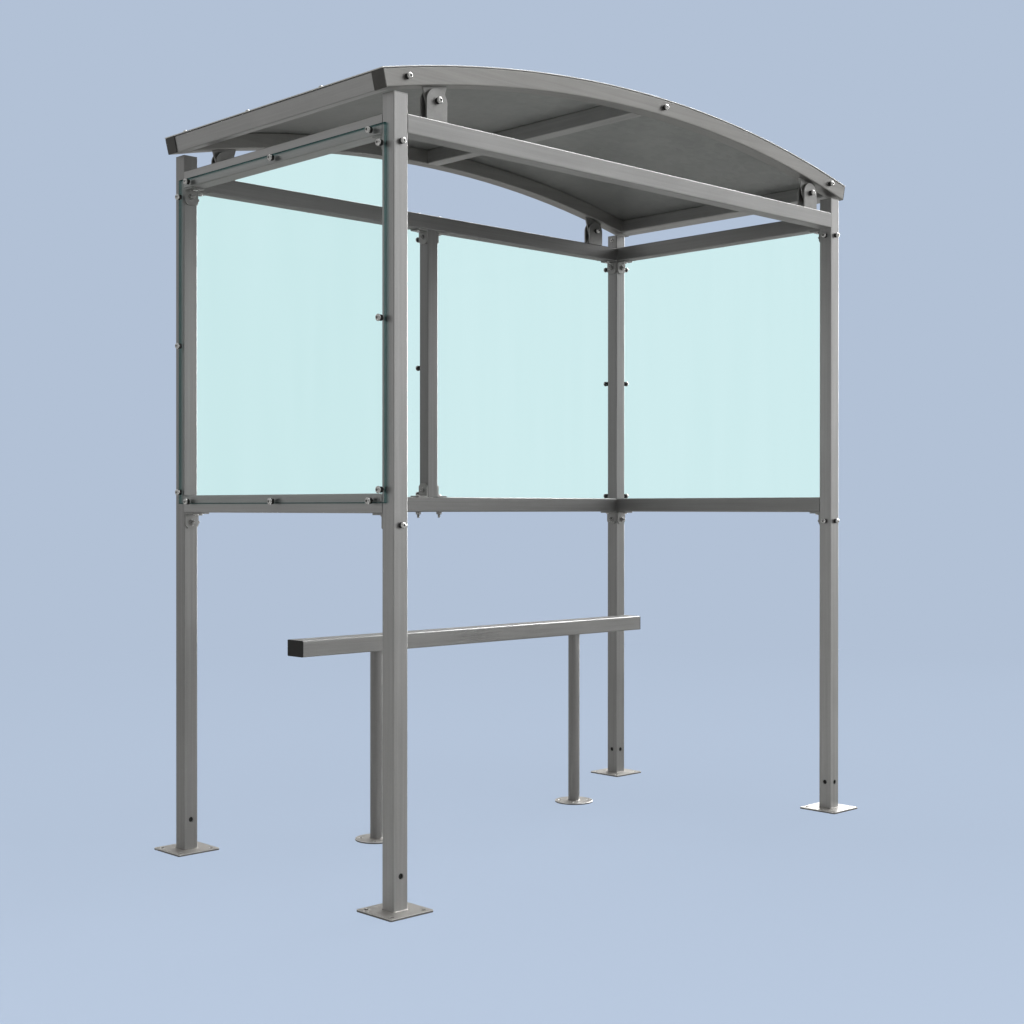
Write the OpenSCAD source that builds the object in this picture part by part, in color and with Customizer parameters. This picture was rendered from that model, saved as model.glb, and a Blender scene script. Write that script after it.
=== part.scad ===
// Free-standing smoking shelter: a four-post tubular steel frame open at the
// front, glazed on three sides, under a curved sheet roof, with a perch rail.
// Origin on the floor at the centre of the footprint; +X along the long side,
// -Y towards the open front, +Z up. Millimetres.

/* [Frame] */
// Spacing of the post centres along the long side
span_x = 2040; // [1800:10:2400]
// Spacing of the post centres front to back
span_y = 1040; // [940:10:1300]
// Height of the post tops above the floor
post_top = 2210; // [2190:5:2220]
// Width of the square post tube
post_w = 50; // [46:1:52]
// Wall thickness of the post tube
post_wall = 3; // [2:0.5:4]
// Height of the rail and header tubes
rail_h = 54; // [48:1:60]
// Depth of the rail and header tubes
rail_d = 50; // [44:1:50]
// Wall thickness of the rail tubes
rail_wall = 2.5; // [2:0.5:4]
// Height of the upper face of the header and top rails
top_rail_z = 2157; // [2140:1:2160]
// Height of the upper face of the low rails
low_rail_z = 1131; // [1000:1:1250]
// Diameter of the cross holes low on the posts
post_hole_d = 16; // [10:1:20]
// Height of the cross holes above the floor
post_hole_z = 100; // [80:5:140]

/* [Base plates] */
// Side of the square base plates
plate_w = 150; // [130:5:180]
// Thickness of the base plates
plate_t = 6; // [6:1:12]
// Spacing of the anchor holes
anchor_sp = 110; // [100:2:116]
// Diameter of the anchor holes
anchor_d = 14; // [10:1:16]
// Corner radius of the base plates
plate_r = 6; // [2:1:10]

/* [Glazing] */
// Thickness of the glass panes
glass_t = 8; // [6:1:10]
// How far the glass edges lap inside the outer rail edges
glass_lap = 27; // [20:1:30]
// Gap between the two back panes
glass_gap = 6; // [4:1:10]

/* [Roof] */
// Outer radius of the curved roof tubes
arch_r = 4600; // [4200:50:5200]
// Half length of the curved roof tubes, measured level
arch_half = 1080; // [1060:5:1100]
// Height of the roof tubes at the crown, outer face
arch_top = 2392; // [2385:1:2400]
// Height of the roof tube section
arch_h = 51; // [45:1:54]
// Depth of the roof tube section
arch_d = 50; // [44:1:50]
// Thickness of the roof sheet
sheet_t = 3; // [2:0.5:4]
// Distance of the roof lugs from the middle
lug_x = 882; // [800:1:920]
// Width of the lower roof lugs
lug_w = 75; // [60:1:90]
// Thickness of the roof lugs
lug_t = 6; // [5:1:8]
// Diameter of the lug bolt holes
lug_hole_d = 13; // [10:1:14]

/* [Perch] */
// Length of the perch rail
perch_len = 1590; // [1400:10:1700]
// Height of the perch rail's upper face
perch_z = 676; // [600:1:800]
// Depth of the perch rail
perch_d = 80; // [60:1:90]
// Height of the perch rail section
perch_h = 52; // [40:1:60]
// Distance of the perch behind the middle of the shelter
perch_y = 215; // [100:5:300]
// Sideways offset of the perch
perch_x = -20; // [-60:5:60]
// Spacing of the two perch posts
perch_sp = 940; // [800:10:1100]
// Diameter of the perch posts
perch_post_d = 42; // [38:1:48]
// Diameter of the perch feet
foot_d = 140; // [120:5:160]
// Thickness of the perch feet
foot_t = 6; // [5:1:10]

/* [Hidden] */

hx = span_x / 2;              // post centre, long side
hy = span_y / 2;              // post centre, short side
inx = hx - post_w / 2;        // inner post faces
iny = hy - post_w / 2;
outx = hx + post_w / 2;       // outer post faces
outy = hy + post_w / 2;
len_x = 2 * inx;              // rail lengths between posts
len_y = 2 * iny;
cap_t = 3;                    // visible thickness of plastic end caps
arch_ang = asin(arch_half / arch_r);
arch_zc = arch_top - arch_r;  // height of the roof arc's centre
arch_ri = arch_r - arch_h;
lug_bolt_z = top_rail_z + 56;
lug_gap = 18;                 // clear gap between the two lower lugs of a pair
cleat_w = 46;                 // width, level leg, upright leg and thickness of the cleats
cleat_l = 44;
cleat_v = 50;
cleat_t = 5;
steel = [0.50, 0.50, 0.49];
steel_light = [0.62, 0.61, 0.59];
steel_dark = [0.36, 0.37, 0.37];
glass_col = [0.78, 0.92, 0.92, 0.55];
black = [0.08, 0.08, 0.08];

// Rectangle with rounded corners, centred
module rrect(w, h, r) {
  union() {
    square([w - 2 * r, h], center = true);
    square([w, h - 2 * r], center = true);
    for (i = [-1, 1], j = [-1, 1])
      translate([i * (w / 2 - r), j * (h / 2 - r)]) circle(r = r, $fn = 32);
  }
}

// Section of a rectangular tube, centred
module tube_section(w, h, wall, r) {
  difference() {
    rrect(w, h, r);
    rrect(w - 2 * wall, h - 2 * wall, max(0.8, r - wall));
  }
}

// Plug cap that closes a tube end; visible plate on +Z, plug down into -Z
module plug_cap(w, h, wall) {
  linear_extrude(cap_t) rrect(w, h, 4);
  translate([0, 0, -18])
    linear_extrude(18.01) rrect(w - 2 * wall - 0.6, h - 2 * wall - 0.6, 1);
}

// Upright post; the inner side wall is on the side facing the middle
module post(sx, sy) {
  color(steel)
    difference() {
      translate([sx * hx, sy * hy, plate_t])
        linear_extrude(post_top - plate_t - cap_t)
          tube_section(post_w, post_w, post_wall, 4);
      translate([sx * hx, sy * hy, post_hole_z]) {
        rotate([90, 0, 0])
          cylinder(d = post_hole_d, h = post_w + 20, center = true, $fn = 48);
        translate([sx * -(post_w / 2 + 5), 0, 0]) rotate([0, sx * 90, 0])
          cylinder(d = post_hole_d, h = post_w / 2, $fn = 48);
      }
    }
}

// Square base plate with four anchor holes
module base_plate(sx, sy) {
  color(steel_light)
    translate([sx * hx, sy * hy, 0])
      difference() {
        linear_extrude(plate_t) rrect(plate_w, plate_w, plate_r);
        for (i = [-1, 1], j = [-1, 1])
          translate([i * anchor_sp / 2, j * anchor_sp / 2, -1])
            cylinder(d = anchor_d, h = plate_t + 2, $fn = 48);
      }
}

module post_top_caps() {
  color(steel_dark)
    for (sx = [-1, 1], sy = [-1, 1])
      translate([sx * hx, sy * hy, post_top - cap_t])
        plug_cap(post_w, post_w, post_wall);
}

// Level rail along X, centred at y, upper face at z
module rail_x(y, z) {
  color(steel)
    translate([-len_x / 2, y, z - rail_h / 2]) rotate([90, 0, 90])
      linear_extrude(len_x) tube_section(rail_d, rail_h, rail_wall, 4);
}

// Level rail along Y, centred at x, upper face at z
module rail_y(x, z) {
  color(steel)
    translate([x, len_y / 2, z - rail_h / 2]) rotate([90, 0, 0])
      linear_extrude(len_y) tube_section(rail_d, rail_h, rail_wall, 4);
}

module back_mullion() {
  color(steel)
    translate([0, hy, low_rail_z])
      linear_extrude(top_rail_z - rail_h - low_rail_z)
        tube_section(post_w - 2, post_w - 2, post_wall, 4);
}

// Angle cleat: one leg under a rail end (towards +Y), one on the post face
module cleat() {
  w = cleat_w / 2;
  translate([-w, 0, -cleat_t]) cube([cleat_w, cleat_l, cleat_t]);
  translate([0, cleat_t, 0]) rotate([90, 0, 0])
    linear_extrude(cleat_t)
      polygon([[-w, 0], [w, 0], [w, 10 - cleat_v], [w - 10, -cleat_v],
               [10 - w, -cleat_v], [-w, 10 - cleat_v]]);
}

module cleats_side(sx) {
  color(steel_dark)
    for (z = [top_rail_z, low_rail_z])
      for (s = [-1, 1])
        translate([sx * hx, s * iny, z - rail_h])
          rotate([0, 0, s < 0 ? 0 : 180]) cleat();
}

module cleats_back() {
  color(steel_dark)
    for (z = [top_rail_z, low_rail_z])
      for (s = [-1, 1])
        translate([s * inx, hy, z - rail_h])
          rotate([0, 0, s < 0 ? -90 : 90]) cleat();
}

// Cleats that hold the back mullion to the rails above and below it
module cleats_mullion() {
  color(steel_dark)
    for (s = [-1, 1]) {
      translate([s * (post_w / 2 - 1), hy, top_rail_z - rail_h])
        rotate([0, 0, -s * 90]) cleat();
      translate([s * (post_w / 2 - 1), hy, low_rail_z])
        mirror([0, 0, 1]) rotate([0, 0, -s * 90]) cleat();
    }
}

glass_z0 = low_rail_z - rail_h + glass_lap;
glass_z1 = top_rail_z - glass_lap;

module glass_side(sx) {
  color(glass_col)
    translate([sx > 0 ? outx : -outx - glass_t, -hy + 5, glass_z0])
      cube([glass_t, span_y - 10, glass_z1 - glass_z0]);
}

module glass_back(sx) {
  w = hx - 5 - glass_gap / 2;
  color(glass_col)
    translate([sx > 0 ? glass_gap / 2 : -glass_gap / 2 - w, outy, glass_z0])
      cube([w, glass_t, glass_z1 - glass_z0]);
}

// Frame of the roof arc: X is radial, Y along the arc, Z across the shelter
module roof_frame(a) {
  translate([0, 0, arch_zc]) rotate([90, 0, 0]) rotate([0, 0, 90 - a])
    children();
}

module roof_arch(y) {
  color(steel)
    translate([0, y, arch_zc]) rotate([90, 0, 0]) rotate([0, 0, 90 - arch_ang])
      rotate_extrude(angle = 2 * arch_ang, $fn = 720)
        translate([arch_r - arch_h / 2, 0])
          tube_section(arch_h, arch_d, rail_wall, 4);
}

// Straight beam between the two arches at angle a from the crown
module roof_beam(a) {
  color(steel)
    roof_frame(a)
      translate([arch_r - 0.1 - arch_h / 2, 0, -(hy - arch_d / 2)])
        linear_extrude(2 * (hy - arch_d / 2))
          tube_section(arch_h, 50, rail_wall, 4);
}
beam_ang = arch_ang - asin(25 / arch_r);

module roof_sheet() {
  sheet_ang = arch_ang + asin((cap_t + 1) / arch_r);
  color(steel_light)
    translate([0, 0, arch_zc]) rotate([90, 0, 0])
      rotate([0, 0, 90 - sheet_ang])
        rotate_extrude(angle = 2 * sheet_ang, $fn = 720)
          translate([arch_r + 0.2, -(outy + 1)])
            square([sheet_t, 2 * (outy + 1)]);
}

module arch_end_caps() {
  color(black)
    for (s = [-1, 1], y = [-hy, hy])
      translate([0, y, 0]) roof_frame(s * arch_ang)
        translate([arch_r - arch_h / 2, 0, 0]) rotate([s * 90, 0, 0])
          plug_cap(arch_h, arch_d, rail_wall);
}

// Lower lugs: pairs of plates with half-round tops, standing on the top rails
module roof_lugs_lower() {
  color(steel)
    for (s = [-1, 1], y = [-hy, hy], k = [-1, 1])
      translate([s * lug_x, y + k * (lug_gap + lug_t) / 2, top_rail_z])
        rotate([90, 0, 0]) translate([0, 0, -lug_t / 2])
          linear_extrude(lug_t)
            difference() {
              union() {
                translate([-lug_w / 2, 0]) square([lug_w, 54]);
                translate([0, 54]) circle(d = lug_w, $fn = 96);
              }
              translate([0, 56]) circle(d = lug_hole_d, $fn = 48);
            }
}

// Upper lug: a tapered plate hanging from an arch, between two lower lugs
module roof_lugs_upper() {
  color(steel)
    for (s = [-1, 1], y = [-hy, hy])
      translate([0, y + lug_t / 2, 0]) rotate([90, 0, 0])
        linear_extrude(lug_t)
          difference() {
            intersection() {
              union() {
                translate([s * lug_x, lug_bolt_z]) {
                  polygon([[-30, -4], [30, -4], [56, 80], [-56, 80]]);
                  circle(r = 30, $fn = 96);
                }
              }
              translate([0, arch_zc]) circle(r = arch_ri, $fn = 720);
            }
            translate([s * lug_x, lug_bolt_z])
              circle(d = lug_hole_d, $fn = 48);
          }
}

// Spacer rings on both sides of each upper lug
module lug_spacers() {
  color(black)
    for (s = [-1, 1], y = [-hy, hy], k = [-1, 1])
      translate([s * lug_x, y + k * lug_t / 2, lug_bolt_z])
        rotate([k * -90, 0, 0])
          linear_extrude((lug_gap - lug_t) / 2)
            difference() {
              circle(d = 30, $fn = 48);
              circle(d = lug_hole_d, $fn = 48);
            }
}

module perch_rail() {
  color(steel)
    translate([perch_x - perch_len / 2, perch_y, perch_z - perch_h / 2])
      rotate([90, 0, 90])
        linear_extrude(perch_len) tube_section(perch_d, perch_h, rail_wall, 4);
}

module perch_end_caps() {
  color(black)
    for (s = [-1, 1])
      translate([perch_x + s * perch_len / 2, perch_y, perch_z - perch_h / 2])
        rotate([90, 0, s * 90]) plug_cap(perch_d, perch_h, rail_wall);
}

module perch_post(s) {
  color(steel)
    translate([perch_x + s * perch_sp / 2, perch_y, foot_t])
      difference() {
        cylinder(d = perch_post_d, h = perch_z - perch_h - foot_t, $fn = 64);
        translate([0, 0, -1])
          cylinder(d = perch_post_d - 5.2, h = perch_z, $fn = 64);
      }
}

module perch_foot(s) {
  color(steel_light)
    translate([perch_x + s * perch_sp / 2, perch_y, 0])
      difference() {
        cylinder(d = foot_d, h = foot_t, $fn = 96);
        for (a = [45 : 90 : 315])
          rotate([0, 0, a]) translate([foot_d / 2 - 18, 0, -1])
            cylinder(d = 11, h = foot_t + 2, $fn = 48);
      }
}

post(-1, -1);  // post_front_left
post(1, -1);  // post_front_right
post(-1, 1);  // post_back_left
post(1, 1);  // post_back_right
base_plate(-1, -1);  // base_plate_front_left
base_plate(1, -1);  // base_plate_front_right
base_plate(-1, 1);  // base_plate_back_left
base_plate(1, 1);  // base_plate_back_right
post_top_caps();
rail_x(-hy, top_rail_z);  // front_header
rail_x(hy, top_rail_z);  // back_top_rail
rail_x(hy, low_rail_z);  // back_low_rail
rail_y(-hx, top_rail_z);  // left_top_rail
rail_y(-hx, low_rail_z);  // left_low_rail
rail_y(hx, top_rail_z);  // right_top_rail
rail_y(hx, low_rail_z);  // right_low_rail
back_mullion();
cleats_mullion();
cleats_side(-1);  // cleats_left
cleats_side(1);  // cleats_right
cleats_back();
glass_side(-1);  // glass_left
glass_side(1);  // glass_right
glass_back(-1);  // glass_back_left
glass_back(1);  // glass_back_right
roof_arch(-hy);  // roof_arch_front
roof_arch(hy);  // roof_arch_back
roof_beam(-beam_ang);  // roof_beam_left
roof_beam(beam_ang);  // roof_beam_right
roof_beam(0);  // roof_beam_centre
roof_sheet();
arch_end_caps();
roof_lugs_lower();
roof_lugs_upper();
lug_spacers();
perch_rail();
perch_end_caps();
perch_post(-1);  // perch_post_left
perch_post(1);  // perch_post_right
perch_foot(-1);  // perch_foot_left
perch_foot(1);  // perch_foot_right
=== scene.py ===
import math

import bmesh
import bpy
from mathutils import Matrix, Vector


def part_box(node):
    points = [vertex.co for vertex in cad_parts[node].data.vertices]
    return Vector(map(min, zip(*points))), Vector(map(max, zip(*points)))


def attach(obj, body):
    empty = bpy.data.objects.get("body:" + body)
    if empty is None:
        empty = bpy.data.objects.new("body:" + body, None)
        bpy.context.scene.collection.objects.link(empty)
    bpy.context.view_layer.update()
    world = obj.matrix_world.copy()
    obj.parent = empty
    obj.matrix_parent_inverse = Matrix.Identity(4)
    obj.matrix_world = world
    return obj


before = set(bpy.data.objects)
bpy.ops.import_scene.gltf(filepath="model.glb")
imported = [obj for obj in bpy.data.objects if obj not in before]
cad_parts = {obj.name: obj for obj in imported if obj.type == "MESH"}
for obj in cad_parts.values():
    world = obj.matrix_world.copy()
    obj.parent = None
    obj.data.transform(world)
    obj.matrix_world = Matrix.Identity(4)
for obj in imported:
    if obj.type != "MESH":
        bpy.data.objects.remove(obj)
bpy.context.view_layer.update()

# ---------------------------------------------------------------- materials


def _node(nt, kind, **sets):
    n = nt.nodes.new(kind)
    for k, v in sets.items():
        setattr(n, k, v)
    return n


def _link(nt, a, b):
    nt.links.new(a, b)


def _fresh(name):
    m = bpy.data.materials.new(name)
    m.use_nodes = True
    nt = m.node_tree
    nt.nodes.clear()
    out = _node(nt, "ShaderNodeOutputMaterial")
    b = _node(nt, "ShaderNodeBsdfPrincipled")
    _link(nt, b.outputs[0], out.inputs[0])
    return m, nt, b


def _noise(nt, coord, scale3, scale, detail, rough=0.6, loc=(0, 0, 0)):
    mp = _node(nt, "ShaderNodeMapping")
    mp.inputs["Scale"].default_value = scale3
    mp.inputs["Location"].default_value = loc
    _link(nt, coord, mp.inputs["Vector"])
    n = _node(nt, "ShaderNodeTexNoise")
    n.inputs["Scale"].default_value = scale
    n.inputs["Detail"].default_value = detail
    n.inputs["Roughness"].default_value = rough
    _link(nt, mp.outputs[0], n.inputs["Vector"])
    return n.outputs["Fac"]


def _math(nt, op, a, b=None, clamp=False):
    n = _node(nt, "ShaderNodeMath", operation=op, use_clamp=clamp)
    for i, v in enumerate((a, b)):
        if v is None:
            continue
        if isinstance(v, (int, float)):
            n.inputs[i].default_value = v
        else:
            _link(nt, v, n.inputs[i])
    return n.outputs[0]


def _range(nt, v, a, b, c, d):
    n = _node(nt, "ShaderNodeMapRange")
    _link(nt, v, n.inputs["Value"])
    for k, x in zip(("From Min", "From Max", "To Min", "To Max"), (a, b, c, d)):
        n.inputs[k].default_value = x
    return n.outputs[0]


def _mixcol(nt, fac, a, b, mode="MIX"):
    n = _node(nt, "ShaderNodeMix", data_type="RGBA", blend_type=mode)
    if isinstance(fac, (int, float)):
        n.inputs[0].default_value = fac
    else:
        _link(nt, fac, n.inputs[0])
    for i, v in ((6, a), (7, b)):
        if isinstance(v, tuple):
            n.inputs[i].default_value = (*v, 1)
        else:
            _link(nt, v, n.inputs[i])
    return n.outputs[2]


def _obj(nt):
    return _node(nt, "ShaderNodeTexCoord").outputs["Object"]


def brushed(name, base, axis, metal=0.8, rough=(0.30, 0.42), var=0.16, tint=(1.0, 1.0, 1.0), bump=0.10):
    """Satin brushed steel: fine lines along axis, soft blotches and small specks."""
    m, nt, b = _fresh(name)
    co = _obj(nt)
    long_c, long_f = 1.4, 5.0
    sc = [95.0, 95.0, 95.0]
    sf = [420.0, 420.0, 420.0]
    if axis is not None:
        sc[axis] = long_c
        sf[axis] = long_f
    else:
        sc, sf = [26.0] * 3, [210.0] * 3
    coarse = _noise(nt, co, sc, 1.0, 4.0, 0.62)
    fine = _noise(nt, co, sf, 1.0, 3.0, 0.6, (3.1, 1.7, 0.4))
    blot = _noise(nt, co, (1, 1, 1), 3.2, 4.0, 0.55, (7.7, 2.2, 5.1))
    speck = _noise(nt, co, (1, 1, 1), 160.0, 2.0, 0.5)
    s = _math(nt, "ADD", _math(nt, "MULTIPLY", coarse, 0.42), _math(nt, "MULTIPLY", fine, 0.22))
    s = _math(nt, "ADD", s, _math(nt, "MULTIPLY", blot, 0.28))
    s = _math(nt, "ADD", s, _math(nt, "MULTIPLY", speck, 0.08))
    f = _range(nt, s, 0.34, 0.66, 0.0, 1.0)
    lo = tuple(base * (1 - var) * t for t in tint)
    hi = tuple(base * (1 + var) * t for t in tint)
    _link(nt, _mixcol(nt, f, lo, hi), b.inputs["Base Color"])
    b.inputs["Metallic"].default_value = metal
    r = _math(nt, "ADD", _math(nt, "MULTIPLY", fine, 0.5), _math(nt, "MULTIPLY", blot, 0.5))
    _link(nt, _range(nt, r, 0.35, 0.65, rough[0], rough[1]), b.inputs["Roughness"])
    bp = _node(nt, "ShaderNodeBump")
    bp.inputs["Strength"].default_value = bump
    bp.inputs["Distance"].default_value = 0.0006
    _link(nt, _math(nt, "ADD", fine, _math(nt, "MULTIPLY", coarse, 0.6)), bp.inputs["Height"])
    _link(nt, bp.outputs[0], b.inputs["Normal"])
    return m


def plate_steel(name, base, tint, metal=0.6):
    """Ground plate steel: swirled polish, faint clouding, warm cast, painted shade on the cut sides and a painted
    highlight on the bevelled edge.
    """
    m, nt, b = _fresh(name)
    co = _obj(nt)
    cloud = _noise(nt, co, (1, 1, 1), 9.0, 5.0, 0.6)
    grain = _noise(nt, co, (260, 22, 260), 1.0, 3.0, 0.6)
    scratch = _noise(nt, co, (30, 380, 30), 1.0, 2.0, 0.5, (2, 5, 1))
    s = _math(nt, "ADD", _math(nt, "MULTIPLY", cloud, 0.5), _math(nt, "MULTIPLY", grain, 0.3))
    s = _math(nt, "ADD", s, _math(nt, "MULTIPLY", scratch, 0.2))
    f = _range(nt, s, 0.36, 0.64, 0, 1)
    top = _mixcol(nt, f, tuple(base * 0.92 * t for t in tint), tuple(base * 1.07 * t for t in tint))
    # painted shade darkens the cut sides and underside; a painted highlight brightens the bevelled edge band
    xyz = _node(nt, "ShaderNodeSeparateXYZ")
    _link(nt, co, xyz.inputs[0])
    painted_shade_sides = _range(nt, xyz.outputs[2], 0.0040, 0.0045, 1.0, 0.0)
    painted_highlight_rim = _math(nt, "MULTIPLY", _range(nt, xyz.outputs[2], 0.0043, 0.0047, 0.0, 1.0), _range(nt, xyz.outputs[2], 0.00588, 0.00597, 1.0, 0.0))
    c = _mixcol(nt, painted_shade_sides, top, tuple(base * 0.42 * t for t in tint))
    _link(nt, _mixcol(nt, painted_highlight_rim, c, (0.95, 0.94, 0.92)), b.inputs["Base Color"])
    b.inputs["Metallic"].default_value = metal
    _link(nt, _range(nt, s, 0.36, 0.64, 0.36, 0.44), b.inputs["Roughness"])
    bp = _node(nt, "ShaderNodeBump")
    bp.inputs["Strength"].default_value = 0.03
    bp.inputs["Distance"].default_value = 0.0005
    _link(nt, grain, bp.inputs["Height"])
    _link(nt, bp.outputs[0], b.inputs["Normal"])
    return m


def sheet_steel(name, base):
    """Zinc-coated roof sheet: faint spangle, mottling and drawn lines, with a painted highlight along its outer edges.
    """
    m, nt, b = _fresh(name)
    co = _obj(nt)
    vo = _node(nt, "ShaderNodeTexVoronoi")
    vo.inputs["Scale"].default_value = 42.0
    _link(nt, co, vo.inputs["Vector"])
    sep = _node(nt, "ShaderNodeSeparateColor")
    _link(nt, vo.outputs["Color"], sep.inputs[0])
    mott = _noise(nt, co, (1, 1, 1), 4.5, 3.0, 0.5)
    lines = _noise(nt, co, (2.0, 120, 2.0), 1.0, 3.0, 0.6)
    s = _math(nt, "ADD", _math(nt, "MULTIPLY", sep.outputs[0], 0.22), _math(nt, "MULTIPLY", mott, 0.52))
    s = _math(nt, "ADD", s, _math(nt, "MULTIPLY", lines, 0.26))
    f = _range(nt, s, 0.25, 0.68, 0, 1)
    xyz = _node(nt, "ShaderNodeSeparateXYZ")
    _link(nt, co, xyz.inputs[0])
    # painted highlight: a thin band along the sheet's outer edges is painted near white
    ex = _range(nt, _math(nt, "ABSOLUTE", xyz.outputs[0]), 1.0805, 1.0825, 0, 1)
    ey = _range(nt, _math(nt, "ABSOLUTE", xyz.outputs[1]), 0.5452, 0.5458, 0, 1)
    body = _mixcol(nt, f, (base * 0.80, base * 0.83, base * 0.82), (base * 1.16, base * 1.19, base * 1.17))
    _link(nt, _mixcol(nt, _math(nt, "MAXIMUM", ex, ey), body, (0.80, 0.80, 0.79)), b.inputs["Base Color"])
    b.inputs["Metallic"].default_value = 0.55
    _link(nt, _range(nt, s, 0.25, 0.68, 0.36, 0.48), b.inputs["Roughness"])
    bp = _node(nt, "ShaderNodeBump")
    bp.inputs["Strength"].default_value = 0.04
    bp.inputs["Distance"].default_value = 0.0006
    _link(nt, lines, bp.inputs["Height"])
    _link(nt, bp.outputs[0], b.inputs["Normal"])
    return m


def moulded(name, base, rough=(0.42, 0.58)):
    """Moulded black plastic or rubber: fine pitted grain and slight fading."""
    m, nt, b = _fresh(name)
    co = _obj(nt)
    grain = _noise(nt, co, (1, 1, 1), 900.0, 2.0, 0.5)
    fade = _noise(nt, co, (1, 1, 1), 26.0, 4.0, 0.6)
    f = _range(nt, _math(nt, "ADD", _math(nt, "MULTIPLY", grain, 0.35), _math(nt, "MULTIPLY", fade, 0.65)), 0.35, 0.65, 0, 1)
    _link(nt, _mixcol(nt, f, tuple(c * 0.75 for c in base), tuple(c * 1.35 for c in base)), b.inputs["Base Color"])
    _link(nt, _range(nt, fade, 0.3, 0.7, rough[0], rough[1]), b.inputs["Roughness"])
    bp = _node(nt, "ShaderNodeBump")
    bp.inputs["Strength"].default_value = 0.25
    bp.inputs["Distance"].default_value = 0.0004
    _link(nt, grain, bp.inputs["Height"])
    _link(nt, bp.outputs[0], b.inputs["Normal"])
    return m


def bright_metal(name, base=0.78):
    """Turned stainless fixings: ring marks and faint smears."""
    m, nt, b = _fresh(name)
    co = _obj(nt)
    smear = _noise(nt, co, (1, 1, 1), 120.0, 4.0, 0.6)
    rings = _noise(nt, co, (1, 1, 1), 1400.0, 1.0, 0.5)
    f = _range(nt, _math(nt, "ADD", _math(nt, "MULTIPLY", smear, 0.7), _math(nt, "MULTIPLY", rings, 0.3)), 0.35, 0.65, 0, 1)
    _link(nt, _mixcol(nt, f, (base * 0.86, base * 0.86, base * 0.85), (base * 1.08, base * 1.08, base * 1.07)), b.inputs["Base Color"])
    b.inputs["Metallic"].default_value = 0.9
    _link(nt, _range(nt, smear, 0.35, 0.65, 0.16, 0.28), b.inputs["Roughness"])
    bp = _node(nt, "ShaderNodeBump")
    bp.inputs["Strength"].default_value = 0.06
    bp.inputs["Distance"].default_value = 0.0002
    _link(nt, rings, bp.inputs["Height"])
    _link(nt, bp.outputs[0], b.inputs["Normal"])
    return m


def weld_metal(name):
    m, nt, b = _fresh(name)
    co = _obj(nt)
    rip = _noise(nt, co, (1, 1, 1), 420.0, 3.0, 0.6)
    heat = _noise(nt, co, (1, 1, 1), 30.0, 3.0, 0.6)
    _link(nt, _mixcol(nt, _range(nt, heat, 0.35, 0.65, 0, 1), (0.24, 0.23, 0.22), (0.36, 0.35, 0.33)), b.inputs["Base Color"])
    b.inputs["Metallic"].default_value = 0.7
    _link(nt, _range(nt, rip, 0.3, 0.7, 0.34, 0.52), b.inputs["Roughness"])
    bp = _node(nt, "ShaderNodeBump")
    bp.inputs["Strength"].default_value = 0.3
    bp.inputs["Distance"].default_value = 0.0006
    _link(nt, rip, bp.inputs["Height"])
    _link(nt, bp.outputs[0], b.inputs["Normal"])
    return m


GLASS_Z0, GLASS_Z1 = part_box("glass_left")[0][2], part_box("glass_left")[1][2]


def glazing(name, axis, far, near=None):
    """Toughened pane: pale aqua, greener and darker at the ground edges, a few smears."""
    m, nt, b = _fresh(name)
    co = _obj(nt)
    sep = _node(nt, "ShaderNodeSeparateXYZ")
    _link(nt, co, sep.inputs[0])
    along = _math(nt, "ABSOLUTE", sep.outputs[axis])
    d = _math(nt, "SUBTRACT", far, along)
    if near is not None:
        d = _math(nt, "MINIMUM", d, _math(nt, "SUBTRACT", along, near))
    d = _math(nt, "MINIMUM", d, _math(nt, "SUBTRACT", sep.outputs[2], GLASS_Z0))
    d = _math(nt, "MINIMUM", d, _math(nt, "SUBTRACT", GLASS_Z1, sep.outputs[2]))
    edge = _range(nt, d, 0.0012, 0.0040, 1.0, 0.0)
    smear = _noise(nt, co, (1, 1, 0.35), 5.0, 5.0, 0.55)
    streak = _noise(nt, co, (9, 9, 0.8), 1.0, 3.0, 0.5, (4, 1, 2))
    body = _mixcol(nt, _range(nt, streak, 0.35, 0.65, 0, 1), (0.955, 0.975, 0.972), (0.972, 0.986, 0.984))
    _link(nt, _mixcol(nt, edge, body, (0.16, 0.36, 0.36)), b.inputs["Base Color"])
    b.inputs["Transmission Weight"].default_value = 1.0
    b.inputs["IOR"].default_value = 1.06
    rr = _range(nt, smear, 0.45, 0.75, 0.0, 0.03)
    _link(nt, _math(nt, "ADD", rr, _math(nt, "MULTIPLY", edge, 0.25)), b.inputs["Roughness"])
    return m


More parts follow.
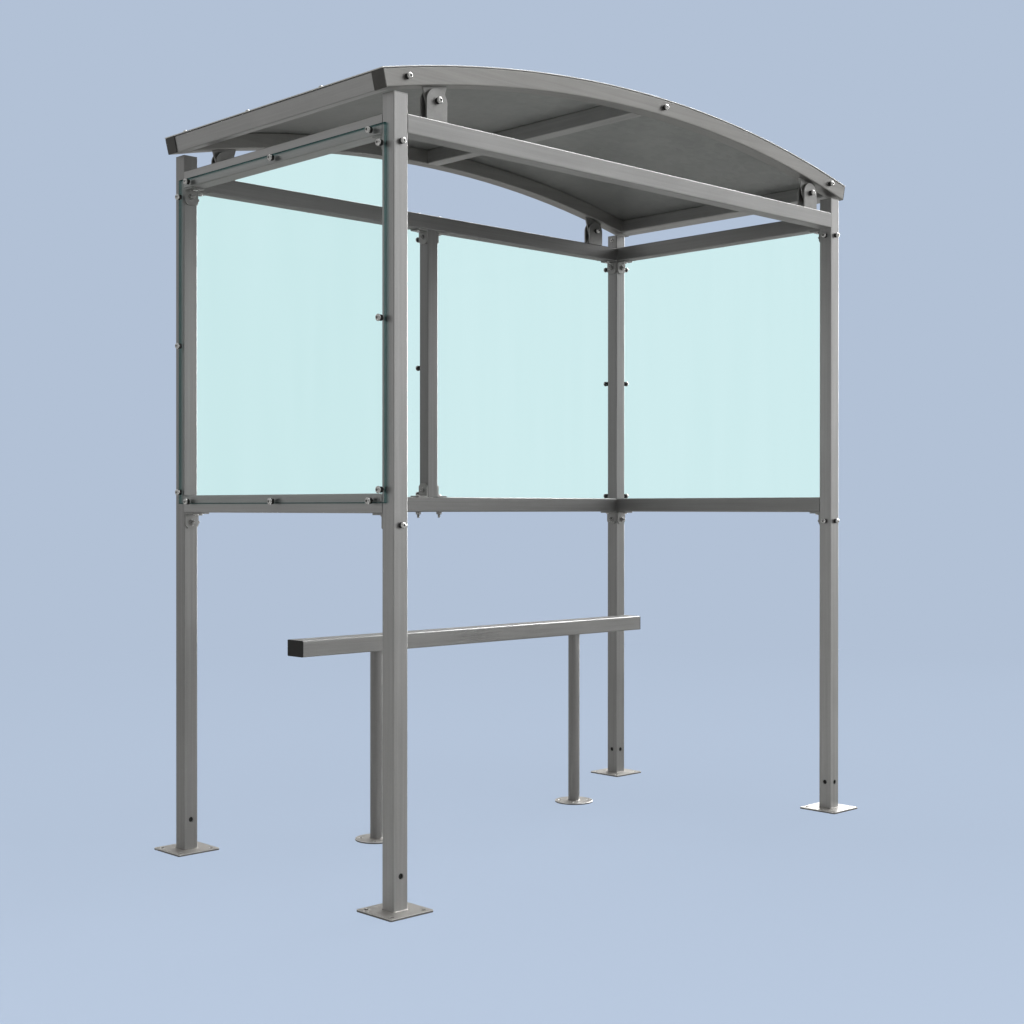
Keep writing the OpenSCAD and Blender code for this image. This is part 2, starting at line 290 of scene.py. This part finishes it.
M = {
    "post": brushed("steel_post", 0.47, 2),
    # painted shade: the back posts, mullion, back rails, right rails, perch rail and perch posts use darker copies of
    # the tube steel, whose lower base tones paint the shade under the roof and inside the shelter
    "post_back": brushed("steel_post_back_painted_shade", 0.35, 2),
    "mullion": brushed("steel_mullion_painted_shade", 0.27, 2),
    "rail_back": brushed("steel_rail_back_painted_shade", 0.28, 0),
    "rail_right": brushed("steel_rail_right", 0.34, 1),
    "perch_post": brushed("steel_perch_post", 0.32, 2),
    "perch": brushed("steel_perch_painted_shade", 0.37, 0, rough=(0.26, 0.38)),
    # painted light: the front right post uses a lighter copy of the post steel, whose higher base tone paints light on
    # it
    "post_fr": brushed("steel_post_right", 0.50, 2),
    "plastic_grey": moulded("plastic_cap_grey", (0.062, 0.060, 0.057)),
    "socket": moulded("socket_shade", (0.05, 0.05, 0.05)),
    "rail_x": brushed("steel_rail_long", 0.38, 0),
    "rail_y": brushed("steel_rail_short", 0.46, 1),
    "arch": brushed("steel_roof_tube", 0.34, 0, tint=(1.0, 0.99, 0.97)),
    "beam": brushed("steel_roof_beam", 0.48, 1),
    "bracket": brushed("steel_bracket", 0.36, None, rough=(0.34, 0.48), tint=(1.0, 1.0, 0.99)),
    "cap": brushed("steel_cap", 0.34, None, metal=0.6),
    "plate": plate_steel("steel_foot_plate", 0.47, (1.0, 0.965, 0.92)),
    "sheet": sheet_steel("roof_sheet_zinc", 0.33),
    "plastic": moulded("plastic_cap_black", (0.012, 0.012, 0.012)),
    "rubber": moulded("rubber_spacer_black", (0.018, 0.018, 0.018), (0.5, 0.7)),
    "bright": bright_metal("fixing_bright"),
    "dull": bright_metal("fixing_dull", 0.42),
    "weld": weld_metal("weld_bead"),
    "glass_side": glazing("glass_side_pane", 1, 0.515),
    "glass_back": glazing("glass_back_pane", 0, 1.015, 0.003),
}


def dress(node, mat):
    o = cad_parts[node]
    if not o.material_slots:
        o.data.materials.append(mat)
    for s in o.material_slots:
        s.material = mat


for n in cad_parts:
    if n.startswith("glass_back"):
        k = "glass_back"
    elif n.startswith("glass"):
        k = "glass_side"
    elif n == "front_header":
        k = "rail_x"
    elif n in ("back_top_rail", "back_low_rail"):
        k = "rail_back"
    elif n == "perch_rail":
        k = "perch"
    elif n.startswith("perch_post"):
        k = "perch_post"
    elif n == "back_mullion":
        k = "mullion"
    elif n.startswith("post_back"):
        k = "post_back"
    elif n.startswith("right_"):
        k = "rail_right"
    elif n.startswith(("left_", "right_")):
        k = "rail_y"
    elif n.startswith("roof_arch"):
        k = "arch"
    elif n.startswith("roof_beam"):
        k = "beam"
    elif n == "roof_sheet":
        k = "sheet"
    elif n.startswith(("cleats", "roof_lugs")):
        k = "bracket"
    elif n == "lug_spacers":
        k = "rubber"
    elif n == "arch_end_caps":
        k = "plastic_grey"
    elif n == "perch_end_caps":
        k = "plastic"
    elif n == "post_front_right":
        k = "post_fr"
    elif n == "post_top_caps":
        k = "cap"
    elif n.startswith(("base_plate", "perch_foot")):
        k = "plate"
    else:
        k = "post"
    dress(n, M[k])

# soft edges on the plates and brackets that catch the light
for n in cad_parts:
    w = 0.0
    if n.startswith("base_plate"):
        w = 0.0014
    elif n.startswith("perch_foot"):
        w = 0.0012
    elif n.startswith(("cleats", "roof_lugs_lower")):
        w = 0.0010
    elif n == "roof_sheet":
        w = 0.0006
    if w:
        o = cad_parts[n]
        wd = o.modifiers.new("weld", "WELD")
        wd.merge_threshold = 0.00002
        bv = o.modifiers.new("edge", "BEVEL")
        bv.width = w
        bv.segments = 2
        bv.limit_method = "ANGLE"
        bv.angle_limit = math.radians(50)
        bv.harden_normals = True
        bv.use_clamp_overlap = True

# ---------------------------------------------------------------- small parts

SEG = 24


def turned(bm, prof, mat4, seg=SEG, twist=0.0):
    """Turned or hexagonal form along +Z. prof is a list of (radius, height, is_hexagon)."""
    rings = []
    for r, z, hx in prof:
        if r <= 1e-7:
            rings.append([bm.verts.new(mat4 @ Vector((0, 0, z)))])
            continue
        ring = []
        for i in range(seg):
            a = 2 * math.pi * i / seg
            rr = r
            if hx:
                t = (a + math.pi / 6) % (math.pi / 3) - math.pi / 6
                rr = r * math.cos(math.pi / 6) / math.cos(t)
            ring.append(bm.verts.new(mat4 @ Vector((rr * math.cos(a + twist), rr * math.sin(a + twist), z))))
        rings.append(ring)
    for p, q in zip(rings, rings[1:]):
        if len(p) == 1 and len(q) == 1:
            continue
        for i in range(seg):
            j = (i + 1) % seg
            if len(p) == 1:
                bm.faces.new((p[0], q[i], q[j]))
            elif len(q) == 1:
                bm.faces.new((p[i], q[0], p[j]))
            else:
                bm.faces.new((p[i], q[i], q[j], p[j]))


def aim(pos, direction, turn=0.0):
    d = Vector(direction).normalized()
    q = Vector((0, 0, 1)).rotation_difference(d)
    return Matrix.Translation(Vector(pos)) @ q.to_matrix().to_4x4() @ Matrix.Rotation(turn, 4, "Z")


def emit(bm, name, mat, sharp=35):
    bmesh.ops.recalc_face_normals(bm, faces=bm.faces[:])
    me = bpy.data.meshes.new(name)
    bm.to_mesh(me)
    bm.free()
    me.materials.append(mat)
    for p in me.polygons:
        p.use_smooth = True
    try:
        me.set_sharp_from_angle(angle=math.radians(sharp))
    except Exception:
        pass
    o = bpy.data.objects.new(name, me)
    bpy.context.collection.objects.link(o)
    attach(o, "root")
    return o


def head_profile(r, off):
    """Low domed head with a hexagon socket; off is the height of its seat."""
    return [
        (0.0, off, False), (r * 0.96, off, False), (r, off + r * 0.08, False), (r, off + r * 0.20, False),
        (r * 0.93, off + r * 0.38, False), (r * 0.78, off + r * 0.54, False), (r * 0.58, off + r * 0.64, False),
        (r * 0.44, off + r * 0.66, False), (r * 0.40, off + r * 0.64, True), (r * 0.38, off + r * 0.28, True), (0.0, off + r * 0.24, False),
    ]


def washer_profile(r, ri, t):
    return [(ri, 0, False), (r * 0.97, 0, False), (r, t * 0.12, False), (r, t * 0.88, False), (r * 0.97, t, False), (ri, t, False), (ri, 0, False)]


def nut_profile(r, t, stud_r, stud_l):
    """Hexagon nut with chamfered corners and a threaded stud end."""
    p = [(0, 0, False), (r * 0.90, 0, False), (r, t * 0.12, True), (r, t * 0.86, True), (r * 0.84, t, False), (stud_r * 1.15, t, False), (stud_r, t * 0.97, False)]
    z = t
    k = 0
    while z < t + stud_l - 0.0006:
        p.append((stud_r * (1.0 if k % 2 else 0.90), z, False))
        z += 0.0008
        k += 1
    p += [(stud_r * 0.86, t + stud_l - 0.0004, False), (stud_r * 0.60, t + stud_l, False), (0, t + stud_l, False)]
    return p


def bolt_set(name, spots, r=0.0100, spacer=0.0100, sr=0.0086):
    """Domed bolts on black spacers. spots: (position on the surface, outward direction); each bolt is turned 0.4 rad
    more than the one before.
    """
    bb, bs, bk = bmesh.new(), bmesh.new(), bmesh.new()
    for i, (pos, d) in enumerate(spots):
        m4 = aim(pos, d, 0.4 * i)
        if spacer:
            turned(bs, washer_profile(sr, 0.0035, spacer), m4)
        turned(bb, head_profile(r, spacer), m4)
        # painted shade: a thin dark disc at the bottom of each hexagon socket stands in for the shade in the recess
        z0 = spacer + r * 0.26
        turned(bk, [(0, z0, False), (r * 0.37, z0, True), (r * 0.37, z0 + 0.0004, True), (0, z0 + 0.0004, False)], m4)
    emit(bb, name, M["bright"])
    emit(bk, name + "_sockets", M["socket"])
    if spacer:
        emit(bs, name + "_spacers", M["rubber"])
    else:
        bs.free()


def nut_set(name, spots, r=0.0085, t=0.0065, stud=0.0042, stub=0.006, mat="dull"):
    bb = bmesh.new()
    for i, (pos, d) in enumerate(spots):
        m4 = aim(pos, d, 0.7 * i)
        turned(bb, washer_profile(r * 1.18, stud, 0.0014), m4)
        turned(bb, nut_profile(r, t, stud, stub), m4 @ Matrix.Translation((0, 0, 0.0014)))
    emit(bb, name, M[mat])


VERT_Z = (2.075, 1.604, 1.141)
TOP_Z, LOW_Z = 2.117, 1.111
side = [(y, z) for y in (-0.503, 0.503) for z in VERT_Z] + [(y, z) for z in (TOP_Z, LOW_Z) for y in (-0.458, 0.0, 0.456)]
for nm, s in (("left", -1), ("right", 1)):
    bolt_set("glass_bolts_" + nm, [((s * 1.053, y, z), (s, 0, 0)) for y, z in side])
back = [(s * x, z) for s in (-1, 1) for x in (0.0145, 1.003) for z in VERT_Z]
back += [(s * x, z) for s in (-1, 1) for x in (0.062, 0.508, 0.955) for z in (TOP_Z, LOW_Z)]
bolt_set("glass_bolts_back", [((x, 0.553, z), (0, 1, 0)) for x, z in back])
# through bolts on the posts and the cleat bolts behind them
HI, LO = 2.078, 1.045
post_faces = []
for s in (-1, 1):
    for z in (HI, LO):
        post_faces.append(((s * 1.02, -0.545, z), (0, -1, 0)))
        post_faces.append(((s * 1.02, 0.545, z), (0, 1, 0)))
        post_faces.append(((s * 0.995, -0.52, z), (-s, 0, 0)))
bolt_set("post_bolts", post_faces, r=0.0088, spacer=0.0095, sr=0.0080)
cl = []
for s in (-1, 1):
    for z in (HI, LO):
        cl.append(((s * 1.02, -0.490, z), (0, 1, 0)))
        cl.append(((s * 1.02, 0.490, z), (0, -1, 0)))
        cl.append(((s * 0.990, 0.52, z), (-s, 0, 0)))
nut_set("cleat_nuts", cl, r=0.0090, t=0.0065, stud=0.0046, stub=0.0085)
up = []
for s in (-1, 1):
    for y in (-0.470, 0.470):
        for z in (2.098, 1.072):
            up.append(((s * 1.02, y, z), (0, 0, -1)))
    for z in (2.098, 1.072):
        up.append(((s * 0.970, 0.52, z), (0, 0, -1)))
bolt_set("cleat_bolts_below", up, r=0.0080, spacer=0.0, sr=0.0)
bolt_set("back_post_bolts", [((s * 0.995, 0.52, 2.190), (-s, 0, 0)) for s in (-1, 1)], r=0.0080, spacer=0.0, sr=0.0)

# mullion fixings: heads on the top rail, nuts and stud ends under the low rail
bolt_set("mullion_bolts", [((s * 0.050, 0.52, 2.157), (0, 0, 1)) for s in (-1, 1)], r=0.0095, spacer=0.0, sr=0.0)
nut_set("mullion_nuts", [((s * 0.050, 0.52, 1.077), (0, 0, -1)) for s in (-1, 1)], r=0.0098, t=0.0080, stud=0.0048, stub=0.0120)
nut_set("mullion_cleat_nuts", [((s * 0.029, 0.52, z), (s, 0, 0)) for s in (-1, 1) for z in (2.078, 1.156)], r=0.0080, t=0.0060, stud=0.0040, stub=0.0050)
bolt_set("mullion_cleat_bolts", [((s * 0.050, 0.52, 2.098), (0, 0, -1)) for s in (-1, 1)] + [((s * 0.050, 0.52, 1.136), (0, 0, 1)) for s in (-1, 1)], r=0.0080, spacer=0.0, sr=0.0)

# roof: bolts on the arch faces, screws along the two end beams, pins through the lugs
ZC, RM = -2.208, 4.5745


def arch_z(x, r=RM):
    return ZC + math.sqrt(r * r - x * x)


bolt_set("arch_bolts", [((x, s * 0.545, arch_z(x)), (0, s, 0)) for s in (-1, 1) for x in (-0.998, 0.068, 0.985)], r=0.0092, spacer=0.0100, sr=0.0082)
scr = []
for s in (-1, 1):
    for y in (-0.257, 0.103, 0.446):
        x = s * 1.071
        r = 4.6032
        scr.append(((x, y, arch_z(x, r)), (x / r, 0, math.sqrt(1 - (x / r) ** 2))))
bolt_set("roof_screws", scr, r=0.0062, spacer=0.0012, sr=0.0072)
pins, ends = [], []
for s in (-1, 1):
    for k in (-1, 1):
        pins.append(((s * 0.882, k * 0.52 - 0.015, 2.213), (0, -1, 0)))
        ends.append(((s * 0.882, k * 0.52 + 0.015, 2.213), (0, 1, 0)))
bolt_set("lug_bolts", pins, r=0.0098, spacer=0.0100, sr=0.0090)
nut_set("lug_nuts", ends, r=0.0110, t=0.0090, stud=0.0058, stub=0.0040)
bm = bmesh.new()
for s in (-1, 1):
    for k in (-1, 1):
        turned(bm, [(0, 0, False), (0.0060, 0, False), (0.0060, 0.0305, False), (0, 0.0305, False)], aim((s * 0.882, k * 0.52 - 0.0152, 2.213), (0, 1, 0)), 20)
emit(bm, "lug_pins", M["dull"])

# black blanking plugs set back inside the cross holes low on the posts
bm = bmesh.new()
plug = [(0, -0.0062, False), (0.0096, -0.0062, False), (0.0100, -0.0056, False), (0.0100, -0.0040, False), (0.0096, -0.0034, False), (0.0060, -0.0034, False), (0.0050, -0.0042, False), (0, -0.0042, False)]
for sx in (-1, 1):
    for sy in (-1, 1):
        for pos, d in (((sx * 1.02, sy * 0.52 - 0.025, 0.1), (0, -1, 0)), ((sx * 1.02, sy * 0.52 + 0.025, 0.1), (0, 1, 0)), ((sx * 0.995, sy * 0.52, 0.1), (-sx, 0, 0))):
            turned(bm, plug, aim(pos, d), 20)
emit(bm, "post_hole_plugs", M["plastic"])

# ---------------------------------------------------------------- welds


def bead(bm, path, normals, up, w, closed, seed):
    """A fillet bead along path: normals point away from the upright face, up along it."""
    n = len(path)
    rings = []
    for i, (p, nn) in enumerate(zip(path, normals)):
        k = 1.0 + 0.13 * math.sin(i * 2.1 + seed) + 0.06 * math.sin(i * 0.73 + 2 * seed)
        a = w * k
        ring = []
        for t in (0.0, 0.25, 0.5, 0.75, 1.0):
            ang = t * math.pi / 2
            x = a * math.cos(ang) * (1.0 - 0.12 * math.sin(2 * ang))
            z = a * math.sin(ang) * (1.0 - 0.12 * math.sin(2 * ang))
            ring.append(bm.verts.new(p + nn * x + up * z))
        ring.append(bm.verts.new(p - nn * 0.0004 - up * 0.0003))
        rings.append(ring)
    m = len(rings[0])
    last = n if closed else n - 1
    for i in range(last):
        a, b = rings[i], rings[(i + 1) % n]
        for j in range(m):
            bm.faces.new((a[j], a[(j + 1) % m], b[(j + 1) % m], b[j]))
    if not closed:
        bm.faces.new(rings[0])
        bm.faces.new(list(reversed(rings[-1])))


def square_path(cx, cy, z, half, r, step=0.0035):
    pts, nor = [], []
    for q in range(4):
        a0 = q * math.pi / 2
        rot = Matrix.Rotation(a0, 3, "Z")
        nstep = int((2 * (half - r)) / step)
        for i in range(nstep):
            y = -(half - r) + 2 * (half - r) * i / nstep
            pts.append(rot @ Vector((half, y, 0)) + Vector((cx, cy, z)))
            nor.append(rot @ Vector((1, 0, 0)))
        for i in range(3):
            a = (i / 3) * math.pi / 2
            pts.append(rot @ Vector((half - r + r * math.cos(a), half - r + r * math.sin(a), 0)) + Vector((cx, cy, z)))
            nor.append(rot @ Vector((math.cos(a), math.sin(a), 0)))
    return pts, nor


UP = Vector((0, 0, 1))
bm = bmesh.new()
for i, (sx, sy) in enumerate(((-1, -1), (1, -1), (-1, 1), (1, 1))):
    p, n = square_path(sx * 1.02, sy * 0.52, 0.006, 0.025, 0.004)
    bead(bm, p, n, UP, 0.0022, True, i + 0.3)
emit(bm, "post_foot_welds", M["weld"], 60)

bm = bmesh.new()
for i, s in enumerate((-1, 1)):
    cx, cy = -0.02 + s * 0.47, 0.215
    for z, u in ((0.006, UP), (0.624, -UP)):
        pts, nor = [], []
        for j in range(44):
            a = 2 * math.pi * j / 44
            nv = Vector((math.cos(a), math.sin(a), 0))
            pts.append(Vector((cx, cy, z)) + nv * 0.021)
            nor.append(nv)
        bead(bm, pts, nor, u, 0.0022, True, i + z)
emit(bm, "perch_welds", M["weld"], 60)

bm = bmesh.new()
for s in (-1, 1):
    for k in (-1, 1):
        for yy, ny in ((-0.015, -1), (0.015, 1)):
            pts = [Vector((s * 0.882 - 0.036 + 0.072 * j / 20, k * 0.52 + yy, 2.157)) for j in range(21)]
            bead(bm, pts, [Vector((0, ny, 0))] * 21, UP, 0.0022, False, s + k)
emit(bm, "lug_welds", M["weld"], 60)

# ---------------------------------------------------------------- stage, light, camera

BG = (0.445, 0.533, 0.672)
FLOOR_E, FLOOR_D = 0.93, 0.14

bm = bmesh.new()
R = 60.0
ringv = [[bm.verts.new((R * k * math.cos(2 * math.pi * i / 64), R * k * math.sin(2 * math.pi * i / 64), -0.0005)) for i in range(64)] for k in (0.03, 0.2, 1.0)]
c0 = bm.verts.new((0, 0, -0.0005))
for i in range(64):
    j = (i + 1) % 64
    bm.faces.new((c0, ringv[0][i], ringv[0][j]))
    for a, b in zip(ringv, ringv[1:]):
        bm.faces.new((a[i], b[i], b[j], a[j]))
me = bpy.data.meshes.new("floor")
bm.to_mesh(me)
bm.free()
floor = bpy.data.objects.new("floor", me)
bpy.context.collection.objects.link(floor)
m = bpy.data.materials.new("floor_plain")
m.use_nodes = True
nt = m.node_tree
nt.nodes.clear()
out = _node(nt, "ShaderNodeOutputMaterial")
co = _obj(nt)
sep = _node(nt, "ShaderNodeSeparateXYZ")
_link(nt, co, sep.inputs[0])
dist = _node(nt, "ShaderNodeVectorMath", operation="LENGTH")
_link(nt, co, dist.inputs[0])
far = _range(nt, dist.outputs["Value"], 2.2, 7.0, 0.0, 1.0)
near = _math(nt, "ADD", _math(nt, "MULTIPLY", sep.outputs[0], -0.695), _math(nt, "MULTIPLY", sep.outputs[1], -0.719))
lift = _range(nt, near, 0.2, 3.2, 0.0, 0.10)
em = _node(nt, "ShaderNodeEmission")
em.inputs[0].default_value = (*BG, 1)
_link(nt, _math(nt, "ADD", _range(nt, far, 0, 1, FLOOR_E, 1.0), lift), em.inputs[1])
df = _node(nt, "ShaderNodeBsdfDiffuse")
_link(nt, _mixcol(nt, far, tuple(c * FLOOR_D for c in BG), (0.0, 0.0, 0.0)), df.inputs[0])
ad = _node(nt, "ShaderNodeAddShader")
_link(nt, em.outputs[0], ad.inputs[0])
_link(nt, df.outputs[0], ad.inputs[1])
neu = _node(nt, "ShaderNodeBsdfDiffuse")
neu.inputs[0].default_value = (0.50, 0.50, 0.49, 1)
lp = _node(nt, "ShaderNodeLightPath")
mx = _node(nt, "ShaderNodeMixShader")
_link(nt, lp.outputs["Is Camera Ray"], mx.inputs[0])
_link(nt, neu.outputs[0], mx.inputs[1])
_link(nt, ad.outputs[0], mx.inputs[2])
thr = _node(nt, "ShaderNodeEmission")
thr.inputs[0].default_value = (0.625, 0.835, 0.865, 1)
first = _math(nt, "LESS_THAN", _math(nt, "ADD", lp.outputs["Glossy Depth"], lp.outputs["Diffuse Depth"]), 0.5)
mt = _node(nt, "ShaderNodeMixShader")
_link(nt, _math(nt, "MULTIPLY", lp.outputs["Is Transmission Ray"], first), mt.inputs[0])
_link(nt, mx.outputs[0], mt.inputs[1])
_link(nt, thr.outputs[0], mt.inputs[2])
_link(nt, mt.outputs[0], out.inputs[0])
me.materials.append(m)

world = bpy.data.worlds.new("studio")
bpy.context.scene.world = world
world.use_nodes = True
nt = world.node_tree
nt.nodes.clear()
out = _node(nt, "ShaderNodeOutputWorld")
tc = _node(nt, "ShaderNodeTexCoord")


def _toward(direction, a, b, c, d):
    v = Vector(direction).normalized()
    n = _node(nt, "ShaderNodeVectorMath", operation="DOT_PRODUCT")
    _link(nt, tc.outputs["Generated"], n.inputs[0])
    n.inputs[1].default_value = tuple(v)
    return _range(nt, n.outputs["Value"], a, b, c, d)


lp = _node(nt, "ShaderNodeLightPath")
lvl = _toward((0.70, -0.72, 0.0), -0.4, 0.9, 0.41, 0.84)
lvl = _math(nt, "SUBTRACT", lvl, _toward((-0.70, -0.70, 0.0), 0.55, 0.95, 0.0, 0.36))
strips = _math(nt, "ADD", _toward((0.97, 0.20, 0.12), 0.89, 0.97, 0.0, 10.0), _toward((0.66, 0.05, 0.75), 0.89, 0.97, 0.0, 10.0))
soft = _math(nt, "MULTIPLY", strips, 0.04)
sharp = _math(nt, "MULTIPLY", strips, lp.outputs["Is Glossy Ray"])
lvl = _math(nt, "ADD", lvl, _math(nt, "MAXIMUM", soft, sharp))
amb = _node(nt, "ShaderNodeBackground")
amb.inputs[0].default_value = (1.0, 1.0, 0.99, 1)
_link(nt, lvl, amb.inputs[1])
cam_bg = _node(nt, "ShaderNodeBackground")
cam_bg.inputs[0].default_value = (*BG, 1)
thru = _node(nt, "ShaderNodeBackground")
thru.inputs[0].default_value = (0.645, 0.855, 0.875, 1)
first = _math(nt, "LESS_THAN", _math(nt, "ADD", lp.outputs["Glossy Depth"], lp.outputs["Diffuse Depth"]), 0.5)
m1 = _node(nt, "ShaderNodeMixShader")
_link(nt, _math(nt, "MULTIPLY", lp.outputs["Is Transmission Ray"], first), m1.inputs[0])
_link(nt, amb.outputs[0], m1.inputs[1])
_link(nt, thru.outputs[0], m1.inputs[2])
m2 = _node(nt, "ShaderNodeMixShader")
_link(nt, lp.outputs["Is Camera Ray"], m2.inputs[0])
_link(nt, m1.outputs[0], m2.inputs[1])
_link(nt, cam_bg.outputs[0], m2.inputs[2])
_link(nt, m2.outputs[0], out.inputs[0])


def area(name, pos, target, sx, sy, watts, color=(1, 1, 1)):
    ld = bpy.data.lights.new(name, "AREA")
    ld.shape = "RECTANGLE"
    ld.size, ld.size_y, ld.energy, ld.color = sx, sy, watts, color
    o = bpy.data.objects.new(name, ld)
    bpy.context.collection.objects.link(o)
    d = Vector(target) - Vector(pos)
    o.matrix_world = Matrix.Translation(Vector(pos)) @ d.to_track_quat("-Z", "Y").to_matrix().to_4x4()
    o.visible_camera = False
    o.visible_transmission = False
    o.visible_glossy = False
    return o


area("key", (3.2, -6.5, 3.4), (0, 0, 1.2), 5.0, 4.0, 70)
area("edge_right", (6.5, 0.4, 3.2), (0, 0, 1.4), 0.7, 5.5, 60)
area("fill_left", (-6.0, 1.5, 3.0), (0, 0, 1.2), 3.0, 4.0, 20)
area("top", (0.5, 0.0, 6.0), (0, 0, 0), 4.0, 4.0, 50)

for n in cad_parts:
    if n.startswith("glass"):
        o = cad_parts[n]
        o.visible_shadow = False
        wd = o.modifiers.new("weld", "WELD")
        wd.merge_threshold = 0.00002
        ds = o.modifiers.new("seat_gap", "DISPLACE")
        ds.direction = "NORMAL"
        ds.mid_level = 0.0
        ds.strength = -0.0007
        es = o.modifiers.new("flat", "EDGE_SPLIT")
        es.split_angle = math.radians(30)

bpy.context.scene.view_settings.view_transform = "Standard"
bpy.context.scene.view_settings.look = "None"

# camera at the photograph's place
cam_d = bpy.data.cameras.new("camera")
cam_d.sensor_width = 36.0
cam_d.lens = 1523.4 / 1024 * 36.0
cam_d.clip_start, cam_d.clip_end = 0.05, 200.0
cam = bpy.data.objects.new("camera", cam_d)
bpy.context.collection.objects.link(cam)
ya, pi_, ro = math.radians(43.998), math.radians(-0.153), math.radians(0.023)
fw = Vector((math.sin(ya) * math.cos(pi_), math.cos(ya) * math.cos(pi_), math.sin(pi_)))
rt = Vector((math.cos(ya), -math.sin(ya), 0))
upv = rt.cross(fw)
r2 = rt * math.cos(ro) + upv * math.sin(ro)
u2 = upv * math.cos(ro) - rt * math.sin(ro)
mw = Matrix((r2, u2, -fw)).transposed().to_4x4()
mw.translation = Vector((-3.6514, -3.7002, 1.0918))
cam.matrix_world = mw
bpy.context.scene.camera = cam
